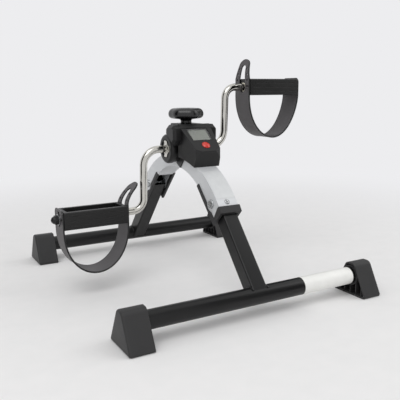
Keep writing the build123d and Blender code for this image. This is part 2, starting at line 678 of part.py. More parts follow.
def console_case():
    case = over_arch(pod_block(0))
    room = pod_block(COVER_WALL)
    nose_wall = 1.5 * COVER_WALL
    inside = [
        (POD_BACK, COVER_TOP_Z + COVER_WALL),
        (POD_FRONT, COVER_TOP_Z + COVER_WALL),
        (FACE_LOW[0] + nose_wall, FACE_LOW[1]),
        (POD_LIP + nose_wall, lip_height()),
        (POD_LIP + 2 * nose_wall, ARCH_CZ),
        (POD_BACK, ARCH_CZ),
    ]
    room &= side_slab(inside, FAR)
    case -= room - arch_disc(ARCH_R + COVER_WALL, ARCH_CZ, FAR)
    case -= face_slab(-BEZEL_T, FAR, 2 * FAR, -FAR, FACE_LENGTH + 2 * FAR)
    return case


WINDOW_START = FACE_LENGTH - WINDOW_FROM_TOP - WINDOW_L


def display_bezel():
    bezel = over_arch(pod_block(0)) & face_slab(-BEZEL_T, 1, 2 * FAR, -FAR, FACE_LENGTH + 2 * FAR)
    bezel -= face_slab(-WINDOW_DEPTH, 5, WINDOW_W + 4, WINDOW_START - 2, WINDOW_L + 4)
    bezel -= face_slab(-10, 5, WINDOW_W, WINDOW_START, WINDOW_L)
    bezel -= FACE_PLANE * (Pos(0, BUTTON_FROM_LOW, 0) * Cylinder(BUTTON_D / 2 + BUTTON_PLAY, 20))
    return bezel


def lcd_lens():
    high = LENS_T - WINDOW_DEPTH - 0.2
    return face_slab(-WINDOW_DEPTH, high, WINDOW_W + 3, WINDOW_START - 1.5, WINDOW_L + 3)


def lcd_panel():
    return face_slab(LCD_LOW, -BEZEL_T, WINDOW_W + 4, WINDOW_START - 2, WINDOW_L + 4)


def circuit_board():
    board = face_slab(BOARD_LOW, BOARD_LOW + BOARD_T, BOARD_W, 6, FACE_LENGTH - 20)
    switch_h = LENS_T - 0.4
    switch = Pos(0, BUTTON_FROM_LOW, BOARD_LOW + BOARD_T + switch_h / 3) * Cylinder(BUTTON_D / 4, switch_h)
    return board + FACE_PLANE * switch


def battery_cell():
    middle = WINDOW_START + WINDOW_L / 2
    return FACE_PLANE * (Pos(0, middle, BOARD_LOW - 0.1 - CELL_T / 2) * Cylinder(CELL_D / 2, CELL_T))


def lcd_frame():
    """Clip frame that holds the glass panel above the board."""
    frame = face_slab(BOARD_LOW + BOARD_T, LCD_LOW, WINDOW_W + 3, WINDOW_START - 1, WINDOW_L + 2)
    return frame - face_slab(BOARD_LOW, LCD_LOW + 1, WINDOW_W - 3, WINDOW_START + 2, WINDOW_L - 4)


def reset_button():
    flange_low = BUTTON_FLANGE_TOP - BUTTON_FLANGE_T
    radius = BUTTON_D / 2
    stem = Pos(0, 0, (flange_low + BUTTON_RISE) / 2) * Cylinder(radius, BUTTON_RISE - flange_low)
    cap_r = (radius ** 2 + BUTTON_DOME ** 2) / (2 * BUTTON_DOME)
    cap = Pos(0, 0, BUTTON_RISE + BUTTON_DOME - cap_r) * Sphere(cap_r)
    cap &= Pos(0, 0, BUTTON_RISE + BUTTON_DOME / 2) * Cylinder(radius, BUTTON_DOME)
    flange = Cylinder(radius + BUTTON_FLANGE_W, BUTTON_FLANGE_T)
    flange = Pos(0, 0, flange_low + BUTTON_FLANGE_T / 2) * flange
    return FACE_PLANE * (Pos(0, BUTTON_FROM_LOW, 0) * (stem + cap + flange))


def reed_sensor():
    wall_x = -COVER_HALF + COVER_WALL
    return Pos(wall_x + SENSOR_T / 2, BRACKET_HALF_Y + 2, CRANK_Z) * Box(SENSOR_T, SENSOR_W, SENSOR_H)


def place_pedal(end, shape):
    """Move a pedal piece built about the origin, inner end at +X zero, onto its spindle."""
    angle = math.radians(CRANK_REST)
    y = -end * CRANK_THROW * math.sin(angle)
    z = CRANK_Z + end * CRANK_THROW * math.cos(angle)
    if end == LEFT:
        shape = mirror(shape, Plane.YZ)
    return Pos(end * PEDAL_INNER, y, z) * shape


def pedal_frame():
    half = PEDAL_LENGTH / 2
    frame = Pos(half, 0, 0) * Box(PEDAL_LENGTH, PEDAL_DEPTH, PEDAL_HEIGHT)
    frame = fillet(frame.edges().filter_by(Axis.X), PEDAL_EDGE_R)
    opening = PEDAL_DEPTH - 2 * PEDAL_SIDE
    frame -= Pos(half, 0, 0) * Box(PEDAL_LENGTH - 2 * PEDAL_END, opening, PEDAL_HEIGHT + 2)
    frame += x_rod(PEDAL_BOSS_D / 2, 0, PEDAL_LENGTH, 0, 0)
    for x in (PEDAL_LENGTH / 3, 2 * PEDAL_LENGTH / 3):
        frame += Pos(x, 0, 0) * Box(PEDAL_RIB_T, opening + 1, PEDAL_RIB_H)
    groove_floor = PEDAL_DEPTH - 2 * PEDAL_GROOVE_DEPTH
    for row in (-1, 0, 1):
        place = Pos(half, 0, row * PEDAL_GROOVE_PITCH)
        groove = place * Box(PEDAL_LENGTH - 2 * PEDAL_SIDE, PEDAL_DEPTH + 2, PEDAL_GROOVE_W)
        frame -= groove - Pos(half, 0, 0) * Box(PEDAL_LENGTH, groove_floor, PEDAL_HEIGHT)
    frame -= x_rod(CRANK_D / 2 + RUNNING_FIT + PEDAL_BUSH_WALL, -1, PEDAL_LENGTH + 1, 0, 0)
    for y in (-PEG_Y, PEG_Y):
        frame += x_rod(PEG_D / 2, -STRAP_T - PEG_OUT, 0.5, y, PEG_Z)
        frame += x_rod(PEG_D / 2, PEDAL_LENGTH - 0.5, PEDAL_LENGTH + STRAP_T + PEG_OUT, y, PEG_Z)
    return frame


def pedal_bushes():
    bore = CRANK_D / 2 + RUNNING_FIT
    rings = []
    for x0 in (0, PEDAL_LENGTH - PEDAL_BUSH_L):
        rings.append(x_ring(bore + PEDAL_BUSH_WALL, bore, x0, x0 + PEDAL_BUSH_L, 0, 0))
    return rings


def pedal_strap(tail_lean):
    """Band fixed at the outer end, hung under the pedal and hooked over the inner pegs."""
    out_x = PEDAL_LENGTH + STRAP_T / 2
    in_x = -STRAP_T / 2
    drop = STRAP_DROP - STRAP_T / 2
    tail = Spline(
        (in_x - tail_lean, STRAP_TAIL),
        (in_x - tail_lean * 0.35, STRAP_TAIL * 0.6),
        (in_x, PEDAL_HEIGHT / 2),
        tangents=((0.3 * tail_lean / 20, -1), (0, -1)),
    )
    grip = Line((in_x, PEDAL_HEIGHT / 2), (in_x, -PEDAL_HEIGHT / 2))
    loop = Spline(
        (in_x, -PEDAL_HEIGHT / 2),
        (in_x + PEDAL_LENGTH * 0.06, -drop * 0.60),
        (in_x + PEDAL_LENGTH * 0.23, -drop * 0.88),
        (in_x + PEDAL_LENGTH * 0.48, -drop),
        (in_x + PEDAL_LENGTH * 0.75, -drop * 0.86),
        (in_x + PEDAL_LENGTH * 0.95, -drop * 0.54),
        (out_x, -PEDAL_HEIGHT / 2),
        tangents=((0, -1), (0.05, 1)),
    )
    tab = Line((out_x, -PEDAL_HEIGHT / 2), (out_x, PEDAL_HEIGHT / 2 + 2))
    band = trace(Wire([*tail.edges(), *grip.edges(), *loop.edges(), *tab.edges()]), STRAP_T)
    band = extrude(Plane.XZ * band, STRAP_WIDTH / 2, both=True)
    half = STRAP_WIDTH / 2
    tip = STRAP_TAIL_WIDTH / 2
    outline = [
        (-half, -STRAP_DROP - 10),
        (half, -STRAP_DROP - 10),
        (half, PEDAL_HEIGHT / 2),
        (tip, STRAP_TAIL),
        (-tip, STRAP_TAIL),
        (-half, PEDAL_HEIGHT / 2),
    ]
    face = make_face(Polyline(*outline, close=True))
    face = fillet([v for v in face.vertices() if v.Y > STRAP_TAIL - 1], tip * 0.8)
    band &= extrude(Plane.YZ * face, 400, both=True)
    slot_low = -CRANK_D / 2 - 2
    slot_high = STRAP_TAIL - TAIL_END
    slot_mid = (slot_low + slot_high) / 2
    slot = Pos(-20, 0, slot_mid) * Box(50, STRAP_SLOT, slot_high - slot_low)
    band -= fillet(slot.edges().filter_by(Axis.X), STRAP_SLOT / 2 - 0.5)
    for y in (-PEG_Y, PEG_Y):
        band -= x_rod(STRAP_HOLE_D / 2, -40, PEDAL_LENGTH + 20, y, PEG_Z)
        band -= x_rod(STRAP_HOLE_D / 2, -40, 5, y * 0.98, TAIL_HOLE_LOW)
        band -= x_rod(STRAP_HOLE_D / 2, -40, 5, y * 0.86, TAIL_HOLE_HIGH)
    far = PEDAL_LENGTH - 5
    band -= x_rod(CRANK_D / 2 + COVER_ROD_GAP, far, far + 20, 0, 0)
    key = Pos(far + 10, 0, 0) * Box(20, 7, 25)
    band -= fillet(key.edges().filter_by(Axis.X), 3.0)
    return band


def spindle_washer():
    x0 = PEDAL_LENGTH + STRAP_T + 0.1
    return x_ring(WASHER_D / 2, THREAD_D / 2 + RUNNING_FIT, x0, x0 + WASHER_T - 0.1, 0, 0)


def acorn_nut():
    x0 = PEDAL_LENGTH + STRAP_T + WASHER_T
    hexagon = Plane.YZ * RegularPolygon(NUT_FLATS / 2, 6, major_radius=False)
    nut = Pos(x0, 0, 0) * extrude(hexagon, NUT_HEX_H)
    dome = Pos(x0 + NUT_HEX_H - 0.5, 0, 0) * Sphere(NUT_FLATS / 2 - 0.6)
    dome &= Pos(x0 + NUT_HEX_H - 0.5 + NUT_FLATS / 2, 0, 0) * Box(NUT_FLATS, 2 * NUT_FLATS, 2 * NUT_FLATS)
    nut += dome
    return nut - x_rod(THREAD_D / 2, x0, THREAD_END - PEDAL_INNER, 0, 0)


def save(name, shape):
    solids = shape if isinstance(shape, list) else [shape]
    flat = []
    for piece in solids:
        flat.extend(piece.solids())
    export_step(Compound(children=flat) if len(flat) > 1 else flat[0], f"parts/{name}.step")
    print(name, len(flat), "solids")


def main():
    os.makedirs("parts", exist_ok=True)
    save("arch_shell", arch_shell())
    save("axle_bracket", axle_bracket())
    save("axle_bushes", axle_bushes())
    save("bracket_screws", bracket_screws())
    save("brake_nut", brake_nut())
    save("base_cover", base_cover())
    save("saddle_straps", saddle_straps())
    save("console_case", console_case())
    save("display_bezel", display_bezel())
    save("lcd_lens", lcd_lens())
    save("lcd_panel", lcd_panel())
    save("lcd_frame", lcd_frame())
    save("circuit_board", circuit_board())
    save("battery_cell", battery_cell())
    save("reed_sensor", reed_sensor())
    save("arm_label", arm_label())
    save("reset_button", reset_button())
    save("brake_felt", brake_felt())
    save("brake_shoe", brake_shoe())
    save("tension_screw", tension_screw())
    save("tension_knob", tension_knob())
    save("crank_rod", crank_rod())
    save("hub_magnet", hub_magnet())
    save("wrap_label", wrap_label())
    for side, place in ((FRONT, "front"), (REAR, "rear")):
        save(f"mouth_trim_{place}", mouth_trim(side))
        save(f"fold_pin_{place}", fold_pin(side))
        save(f"fold_spacers_{place}", fold_spacers(side))
        save(f"leg_tube_{place}", leg_tube(side))
        save(f"foot_bar_{place}", foot_bar(side))
        for end, hand in ((LEFT, "left"), (RIGHT, "right")):
            save(f"foot_{place}_{hand}", foot(side, end))
    for end, hand in ((LEFT, "left"), (RIGHT, "right")):
        lean = TAIL_LEAN_LEFT if end == LEFT else TAIL_LEAN_RIGHT
        save(f"hub_disc_{hand}", hub_disc(end))
        save(f"star_clip_{hand}", star_clip(end))
        save(f"pedal_frame_{hand}", place_pedal(end, pedal_frame()))
        save(f"pedal_bushes_{hand}", [place_pedal(end, ring) for ring in pedal_bushes()])
        save(f"pedal_strap_{hand}", place_pedal(end, pedal_strap(lean)))
        save(f"spindle_washer_{hand}", place_pedal(end, spindle_washer()))
        save(f"acorn_nut_{hand}", place_pedal(end, acorn_nut()))


if __name__ == "__main__":
    main()
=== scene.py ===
"""Folding pedal exerciser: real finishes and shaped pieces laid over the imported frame."""

from __future__ import annotations

import logging
import math
from dataclasses import dataclass
from enum import Enum

import bpy
from mathutils import Matrix, Vector

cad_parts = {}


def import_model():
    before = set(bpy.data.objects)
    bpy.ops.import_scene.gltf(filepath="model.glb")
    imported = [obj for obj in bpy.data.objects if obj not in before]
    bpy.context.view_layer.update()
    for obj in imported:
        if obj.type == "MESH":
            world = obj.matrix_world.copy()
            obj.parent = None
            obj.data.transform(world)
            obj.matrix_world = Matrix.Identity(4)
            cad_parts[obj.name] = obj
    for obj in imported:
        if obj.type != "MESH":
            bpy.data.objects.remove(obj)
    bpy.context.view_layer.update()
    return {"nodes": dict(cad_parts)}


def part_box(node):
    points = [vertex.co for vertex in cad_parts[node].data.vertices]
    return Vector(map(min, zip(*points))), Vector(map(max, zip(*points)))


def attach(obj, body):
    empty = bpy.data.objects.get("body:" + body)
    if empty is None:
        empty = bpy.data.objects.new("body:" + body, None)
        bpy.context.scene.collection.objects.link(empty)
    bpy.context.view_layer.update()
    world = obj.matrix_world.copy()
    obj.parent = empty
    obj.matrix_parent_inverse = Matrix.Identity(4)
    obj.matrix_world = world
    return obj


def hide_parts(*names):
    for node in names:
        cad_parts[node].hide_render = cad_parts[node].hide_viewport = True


LOG = logging.getLogger("pedal_exerciser")
MM = 0.001
Colour = tuple[float, float, float, float]
# One step of a strap's middle line: distance along, height, and whether it is on the tail.
Step = tuple[float, float, bool]

# Noise levels between which the tone of a skin runs from its colour to its shade.
TONE_FROM, TONE_TO = 0.3, 0.7
# Cosine between the flat normal and the softened one, where an edge starts and where it is full.
EDGE_FROM, EDGE_TO = 0.995, 0.90
# How softly one pit of a stippled skin runs into the next.
PIT_SOFTNESS = 0.7
# Detail and roughness of the noise that draws hairlines, orange peel and fibres.
SMOOTH_DETAIL, FIBRE_DETAIL, GRAIN_ROUGHNESS = 2.0, 5.0, 0.6
BLOTCH_DETAIL = 4.0
RELIEF_STRENGTH = 0.6
EDGE_SAMPLES = 4


def linear(code: str) -> Colour:
    """Turn an sRGB hex colour into linear RGBA.

    Args:
        code: Six hex digits after a hash sign.

    Returns:
        Linear red, green and blue, with alpha 1.
    """
    channels = [int(code[i : i + 2], 16) / 255 for i in (1, 3, 5)]
    made = [c / 12.92 if c <= 0.04045 else ((c + 0.055) / 1.055) ** 2.4 for c in channels]
    return (made[0], made[1], made[2], 1.0)


def add(
    tree: bpy.types.NodeTree, kind: str, inputs: dict | None = None, **settings: object
) -> bpy.types.Node:
    """Add one node, with its settings and what feeds it.

    Args:
        tree: The node tree that gets the node.
        kind: The node's type name.
        inputs: Socket name or number to a value, or to the output linked into it.
        **settings: Properties set on the node before its sockets.

    Returns:
        The new node.
    """
    node = tree.nodes.new(kind)
    for name, value in settings.items():
        setattr(node, name, value)
    for socket, value in (inputs or {}).items():
        if isinstance(value, bpy.types.NodeSocket):
            tree.links.new(value, node.inputs[socket])
        else:
            node.inputs[socket].default_value = value
    return node


class Texture(Enum):
    """How the skin of a piece was made, as the eye meets it close up."""

    STIPPLED = "spark-eroded mould, a field of fine pits"
    SPRAYED = "paint or powder that flowed a little before it set, like orange peel"
    DRAWN = "metal pulled or polished along one direction, leaving hairlines"
    FIBROUS = "pressed or woven fibres lying every way"


@dataclass(frozen=True)
class Finish:
    """One real material and the way its surface was made.

    Lengths are in millimetres. grain_mm is the spacing of the fine texture, and
    blotch_mm is the size of the slow changes in tone and gloss.
    """

    name: str
    colour: str
    shade: str
    texture: Texture
    roughness: float
    grain_mm: float
    grain_depth_mm: float
    roughness_spread: float = 0.06
    blotch_mm: float = 30.0
    metallic: float = 0.0
    ior: float = 1.5
    coat: float = 0.0
    sheen: float = 0.0
    transmission: float = 0.0
    # Edge colour and its amount: rubbed wear on most finishes, painted shade along the strap's
    # edges.
    edge_colour: str = ""
    edge_wear_and_shade: float = 0.0
    edge_round_mm: float = 0.5
    along: tuple[float, float, float] = (1.0, 1.0, 1.0)

    def grain(self, tree: bpy.types.NodeTree, place: bpy.types.NodeSocket) -> bpy.types.NodeSocket:
        """Draw the fine texture of the skin.

        Args:
            tree: The material's node tree.
            place: The point on the piece, in metres.

        Returns:
            The texture's height, from 0 to 1.
        """
        scale = 1.0 / (self.grain_mm * MM)
        if self.texture is Texture.STIPPLED:
            cells = add(
                tree,
                "ShaderNodeTexVoronoi",
                {"Vector": place, "Scale": scale, "Smoothness": PIT_SOFTNESS},
                feature="SMOOTH_F1",
            )
            return cells.outputs["Distance"]
        detail = FIBRE_DETAIL if self.texture is Texture.FIBROUS else SMOOTH_DETAIL
        noise = add(
            tree,
            "ShaderNodeTexNoise",
            {"Vector": place, "Scale": scale, "Detail": detail, "Roughness": GRAIN_ROUGHNESS},
        )
        return noise.outputs["Fac"]

    def edges(
        self, tree: bpy.types.NodeTree, rounded: bpy.types.NodeSocket
    ) -> bpy.types.NodeSocket:
        """Find the corners, which hands and floors rub on most pieces and which get painted shade
        on the strap.

        Args:
            tree: The material's node tree.
            rounded: The normal with its edges softened.

        Returns:
            How near an edge a point is, from 0 to 1.
        """
        flat = add(tree, "ShaderNodeNewGeometry")
        dot = add(
            tree,
            "ShaderNodeVectorMath",
            {0: rounded, 1: flat.outputs["Normal"]},
            operation="DOT_PRODUCT",
        )
        near = add(
            tree,
            "ShaderNodeMapRange",
            {"Value": dot.outputs["Value"], "From Min": EDGE_FROM, "From Max": EDGE_TO},
        )
        return near.outputs["Result"]

    def build(self) -> bpy.types.Material:
        """Make the material.

        Returns:
            The finished node material.
        """
        material = bpy.data.materials.new(self.name)
        material.use_nodes = True
        tree = material.node_tree
        tree.nodes.clear()
        coords = add(tree, "ShaderNodeTexCoord")
        place = coords.outputs["Object"]
        pulled = add(tree, "ShaderNodeMapping", {"Vector": place, "Scale": self.along})
        blotch = add(
            tree,
            "ShaderNodeTexNoise",
            {"Vector": place, "Scale": 1.0 / (self.blotch_mm * MM), "Detail": BLOTCH_DETAIL},
        )
        tone = add(
            tree,
            "ShaderNodeMapRange",
            {"Value": blotch.outputs["Fac"], "From Min": TONE_FROM, "From Max": TONE_TO},
        )
        grain = self.grain(tree, pulled.outputs["Vector"])
        speck = add(
            tree,
            "ShaderNodeMath",
            {0: tone.outputs["Result"], 1: grain},
            operation="MULTIPLY",
        )
        base = add(
            tree,
            "ShaderNodeMix",
            {0: speck.outputs["Value"], 6: linear(self.colour), 7: linear(self.shade)},
            data_type="RGBA",
        )
        rounded = add(
            tree, "ShaderNodeBevel", {"Radius": self.edge_round_mm * MM}, samples=EDGE_SAMPLES
        )
        colour = base.outputs[2]
        # Patchy edge colour: rubbed wear on most finishes, painted shade along the strap's edges.
        if self.edge_wear_and_shade:
            near = self.edges(tree, rounded.outputs["Normal"])
            wear_and_shade_patches = add(
                tree,
                "ShaderNodeMath",
                {0: near, 1: blotch.outputs["Fac"]},
                operation="MULTIPLY",
            )
            amount = add(
                tree,
                "ShaderNodeMath",
                {0: wear_and_shade_patches.outputs["Value"], 1: self.edge_wear_and_shade},
                operation="MULTIPLY",
            )
            wear_and_shade_mix = add(
                tree,
                "ShaderNodeMix",
                {0: amount.outputs["Value"], 6: colour, 7: linear(self.edge_colour)},
                data_type="RGBA",
            )
            colour = wear_and_shade_mix.outputs[2]
        gloss = add(
            tree,
            "ShaderNodeMapRange",
            {
                "Value": speck.outputs["Value"],
                "To Min": self.roughness - self.roughness_spread / 2,
                "To Max": self.roughness + self.roughness_spread,
            },
        )
        relief = add(
            tree,
            "ShaderNodeBump",
            {
                "Height": grain,
                "Distance": self.grain_depth_mm * MM,
                "Strength": RELIEF_STRENGTH,
                "Normal": rounded.outputs["Normal"],
            },
        )
        shader = add(
            tree,
            "ShaderNodeBsdfPrincipled",
            {
                "Base Color": colour,
                "Roughness": gloss.outputs["Result"],
                "Normal": relief.outputs["Normal"],
                "Metallic": self.metallic,
                "Coat Weight": self.coat,
                "Sheen Weight": self.sheen,
                "Transmission Weight": self.transmission,
            },
        )
        if not self.metallic:
            shader.inputs["IOR"].default_value = self.ior
        add(tree, "ShaderNodeOutputMaterial", {"Surface": shader.outputs["BSDF"]})
        return material


# Silver enamel sprayed over pressed sheet steel: a soft even satin that greys a little where
# the coat lies thin, with orange peel drawn about three times its real spacing so that it shows.
SILVER_ENAMEL = Finish(
    "silver_enamel", "#D6D8DA", "#C4C6C9", Texture.SPRAYED, 0.36, 1.6, 0.03,
    metallic=0.2, edge_colour="#D8D9DB", edge_wear_and_shade=0.8, blotch_mm=45.0,
)
# Black powder coat baked on steel tube: near black, with a broad soft highlight along each tube
# and a fine orange peel.
BLACK_POWDER = Finish(
    "black_powder_coat", "#080809", "#121213", Texture.SPRAYED, 0.34, 1.4, 0.05,
    ior=1.42, edge_colour="#4A4A4C", edge_wear_and_shade=0.9, blotch_mm=60.0,
)
# Black ABS from a stippled mould: satin, so that its facets read as slightly different greys.
STIPPLED_ABS = Finish(
    "stippled_abs", "#101011", "#1B1B1C", Texture.STIPPLED, 0.40, 0.7, 0.05,
    ior=1.44, edge_colour="#3C3C3E", edge_wear_and_shade=0.8, edge_round_mm=0.9,
)
# Black polypropylene, moulded pedals: duller than ABS, with corners that shoes have greyed.
MOULDED_PP = Finish(
    "moulded_polypropylene", "#0B0B0B", "#161515", Texture.STIPPLED, 0.46, 0.9, 0.03,
    ior=1.49, edge_colour="#4B4A4A", edge_wear_and_shade=1.0, roughness_spread=0.14, blotch_mm=18.0,
)
# Black ABS polished in the mould, the hand knob: a soft gloss with faint handling marks.
GLOSS_ABS = Finish(
    "polished_abs", "#0B0B0C", "#131315", Texture.SPRAYED, 0.30, 4.0, 0.03,
    ior=1.54, coat=0.1, roughness_spread=0.14, blotch_mm=12.0, edge_round_mm=0.8,
)
# Thermoplastic rubber, the feet and mouth trims: matt charcoal with a dusty bloom.
SOFT_RUBBER = Finish(
    "thermoplastic_rubber", "#1D1D1E", "#2B2A2B", Texture.STIPPLED, 0.58, 0.8, 0.08,
    ior=1.52, sheen=0.05, edge_colour="#47474A", edge_wear_and_shade=0.8, roughness_spread=0.12,
    edge_round_mm=0.8,
)
# Flexible PVC strap: matt grey-black with a greyer bloom, and painted shade that darkens it in
# patches along its edges.
STRAP_PVC = Finish(
    "strap_pvc", "#444143", "#555254", Texture.STIPPLED, 0.52, 1.1, 0.03,
    ior=1.53, edge_colour="#2A292A", edge_wear_and_shade=0.6, roughness_spread=0.12, blotch_mm=14.0,
    edge_round_mm=0.7,
)
# The strap's raised rim and side walls, the rim rolled smooth by the mould's edge: glossier than
# the face, and painted near black as shade, though it is the same PVC.
STRAP_RIM_PAINTED_SHADE = Finish(
    "strap_rim_painted_shade", "#0E0E0F", "#1A1A1B", Texture.STIPPLED, 0.36, 1.1, 0.02,
    ior=1.53, roughness_spread=0.10, blotch_mm=8.0, edge_round_mm=0.5,
)
# Chrome plate on bent steel rod: a warm grey mirror, with hairlines along the polishing
# direction, that shows light and dark streaks down its length.
CHROME = Finish(
    "chrome_plate", "#CFCDC7", "#C4C2BC", Texture.DRAWN, 0.09, 1.0, 0.004,
    metallic=1.0, roughness_spread=0.05, blotch_mm=10.0, along=(0.15, 1.0, 1.0),
)
# Steel pressed or turned and zinc plated: cooler and duller than chrome, slightly blotched.
ZINC_STEEL = Finish(
    "zinc_plated_steel", "#B9BBBC", "#9EA1A3", Texture.DRAWN, 0.26, 0.6, 0.01,
    metallic=1.0, roughness_spread=0.12, blotch_mm=6.0,
)
# Moulded nylon bushes: milky and waxy.
NYLON = Finish(
    "natural_nylon", "#E2DDCE", "#D3CDBB", Texture.STIPPLED, 0.40, 0.5, 0.02, ior=1.53,
)
# Cast acrylic window: clear, with the faintest waviness.
ACRYLIC = Finish(
    "clear_acrylic", "#FFFFFF", "#F6F8F6", Texture.SPRAYED, 0.04, 6.0, 0.004,
    ior=1.49, transmission=1.0, roughness_spread=0.02, edge_round_mm=0.2,
)
# Liquid crystal glass over its grey-green reflector: flat and slightly pearly.
LCD_REFLECTOR = Finish(
    "lcd_reflector", "#8D9388", "#838A80", Texture.FIBROUS, 0.22, 0.3, 0.004,
    ior=1.52, blotch_mm=9.0, edge_round_mm=0.2,
)
# Glass-fibre board under green solder resist: a flat green with a faint weave.
SOLDER_RESIST = Finish(
    "solder_resist", "#1F5A35", "#2A6B41", Texture.FIBROUS, 0.35, 0.8, 0.02, ior=1.55,
)
# Red ABS button, its dome polished in the mould: one small bright highlight.
RED_ABS = Finish(
    "red_abs", "#CB2F22", "#B3261B", Texture.SPRAYED, 0.24, 1.5, 0.01,
    ior=1.54, coat=0.2, blotch_mm=4.0, edge_round_mm=0.3,
)
# Pressed wool felt, the brake pad: matt grey, soft at its outline, with fibres lying every way.
WOOL_FELT = Finish(
    "wool_felt", "#8F9194", "#77797C", Texture.FIBROUS, 0.92, 0.5, 0.2, sheen=0.4,
)
# Satin vinyl sticker, blank: white with faint roller texture.
WHITE_VINYL = Finish(
    "white_vinyl", "#EFEFEC", "#E4E4E1", Texture.FIBROUS, 0.42, 0.8, 0.01,
    blotch_mm=14.0, edge_round_mm=0.2,
)
# Silver-grey polyester sticker, blank: a flat patch, a shade darker than the enamel under it.
PALE_VINYL = Finish(
    "pale_vinyl", "#D2D4D5", "#C6C8CA", Texture.FIBROUS, 0.38, 0.8, 0.01,
    metallic=0.1, blotch_mm=10.0, edge_round_mm=0.2,
)


class Dresser:
    """Keeps one material for each finish and lays it on pieces."""

    def __init__(self) -> None:
        """Start with no materials made."""
        self.made: dict[str, bpy.types.Material] = {}

    def material(self, finish: Finish) -> bpy.types.Material:
        """Return the finish's material, made on first use.

        Args:
            finish: What the piece is made of.

        Returns:
            The one material that every piece of this finish shares.
        """
        if finish.name not in self.made:
            self.made[finish.name] = finish.build()
        return self.made[finish.name]

    def dress(self, piece: bpy.types.Object, finish: Finish) -> None:
        """Put a finish on every material slot of a piece.

        Args:
            piece: A frame node or a new mesh.
            finish: What it is made of.
        """
        material = self.material(finish)
        if not piece.material_slots:
            piece.data.materials.append(material)
        for slot in piece.material_slots:
            slot.material = material
        LOG.info("%s is %s", piece.name, finish.name)


def mesh_object(name: str, points: list, faces: list) -> bpy.types.Object:
    """Make a mesh and put it in the scene.

    Args:
        name: The name of the mesh and its object.
        points: Corner points in metres.
        faces: Rings of point numbers.

    Returns:
        The new object.
    """
    mesh = bpy.data.meshes.new(name)
    mesh.from_pydata(points, [], faces)
    made = bpy.data.objects.new(name, mesh)
    bpy.context.scene.collection.objects.link(made)
    return made


def mesh_piece(name: str, points: list, faces: list, body: str) -> bpy.types.Object:
    """Make a smooth mesh piece that rides on a body.

    Args:
        name: The piece's name.
        points: Corner points in metres.
        faces: Rings of point numbers.
        body: The body it moves with.

    Returns:
        The new object.
    """
    piece = mesh_object(name, points, faces)
    piece.data.validate()
    piece.data.shade_smooth()
    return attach(piece, body)


def middle(node: str) -> Vector:
    """Find the centre of a frame node.

    Args:
        node: The node's name.

    Returns:
        The middle of its box, in metres.
    """
    low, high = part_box(node)
    return (low + high) / 2


def inner_end(node: str, side: str) -> tuple[float, float]:
    """Find which way is out from the arch, and where a node's inner end lies.

    Args:
        node: The node's name.
        side: "left" or "right".

    Returns:
        1 on the right or -1 on the left, and the X of the end nearest the arch, in metres.
    """
    low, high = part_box(node)
    return (1.0, low.x) if side == "right" else (-1.0, high.x)


def about_x(x: float, centre: Vector, radius_mm: float, turn: float) -> Vector:
    """Place a point on a circle that faces along X.

    Args:
        x: Where the circle stands along X, in metres.
        centre: A point on its axis, in metres.
        radius_mm: Its radius.
        turn: The angle from straight up, in radians.

    Returns:
        The point, in metres.
    """
    return Vector((
        x,
        centre.y + radius_mm * MM * math.sin(turn),
        centre.z + radius_mm * MM * math.cos(turn),
    ))


@dataclass
class CarriedOver:
    """Frame nodes whose shape already is the real one, and what each is made of."""

    dresser: Dresser

    def finishes(self) -> dict[Finish, tuple[str, ...]]:
        """List what each family of nodes is made of.

        Returns:
            Each finish, with the starts of the names of the nodes that wear it.
        """
        return {
            SILVER_ENAMEL: ("arch_shell",),
            BLACK_POWDER: ("leg_tube_", "foot_bar_"),
            STIPPLED_ABS: (
                "base_cover", "saddle_straps", "console_case", "display_bezel",
                "hub_disc_", "acorn_nut_", "lcd_frame",
            ),
            GLOSS_ABS: ("tension_knob",),
            SOFT_RUBBER: ("mouth_trim_", "foot_front_", "foot_rear_"),
            MOULDED_PP: ("pedal_frame_",),
            STRAP_PVC: ("pedal_strap_",),
            CHROME: ("crank_rod", "star_clip_"),
            ZINC_STEEL: (
                "fold_pin_", "fold_spacers_", "axle_bracket", "bracket_screws", "brake_nut",
                "brake_shoe", "tension_screw", "hub_magnet", "spindle_washer_", "battery_cell",
            ),
            NYLON: ("axle_bushes", "pedal_bushes_"),
            ACRYLIC: ("lcd_lens",),
            LCD_REFLECTOR: ("lcd_panel",),
            SOLDER_RESIST: ("circuit_board", "reed_sensor"),
            RED_ABS: ("reset_button",),
            WOOL_FELT: ("brake_felt",),
            WHITE_VINYL: ("wrap_label",),
            PALE_VINYL: ("arm_label",),
        }

    def dress(self, nodes: dict[str, bpy.types.Object]) -> None:
        """Put its finish on every frame node.

        Args:
            nodes: Node name to object.
        """
        for finish, families in self.finishes().items():
            for name in sorted(nodes):
                if name.startswith(families):
                    self.dresser.dress(nodes[name], finish)


def lofted(rings: list[list[Vector]]) -> tuple[list[Vector], list[tuple[int, ...]]]:
    """Join closed rings of equal length into a skin.

    Args:
        rings: Rings of points, in order.

    Returns:
        The points and the faces between neighbouring rings.
    """
    count = len(rings[0])
    points = [point for ring in rings for point in ring]
    faces = []
    for row in range(len(rings) - 1):
        for k in range(count):
            a, b = row * count + k, row * count + (k + 1) % count
            faces.append((a, b, b + count, a + count))
    return points, faces


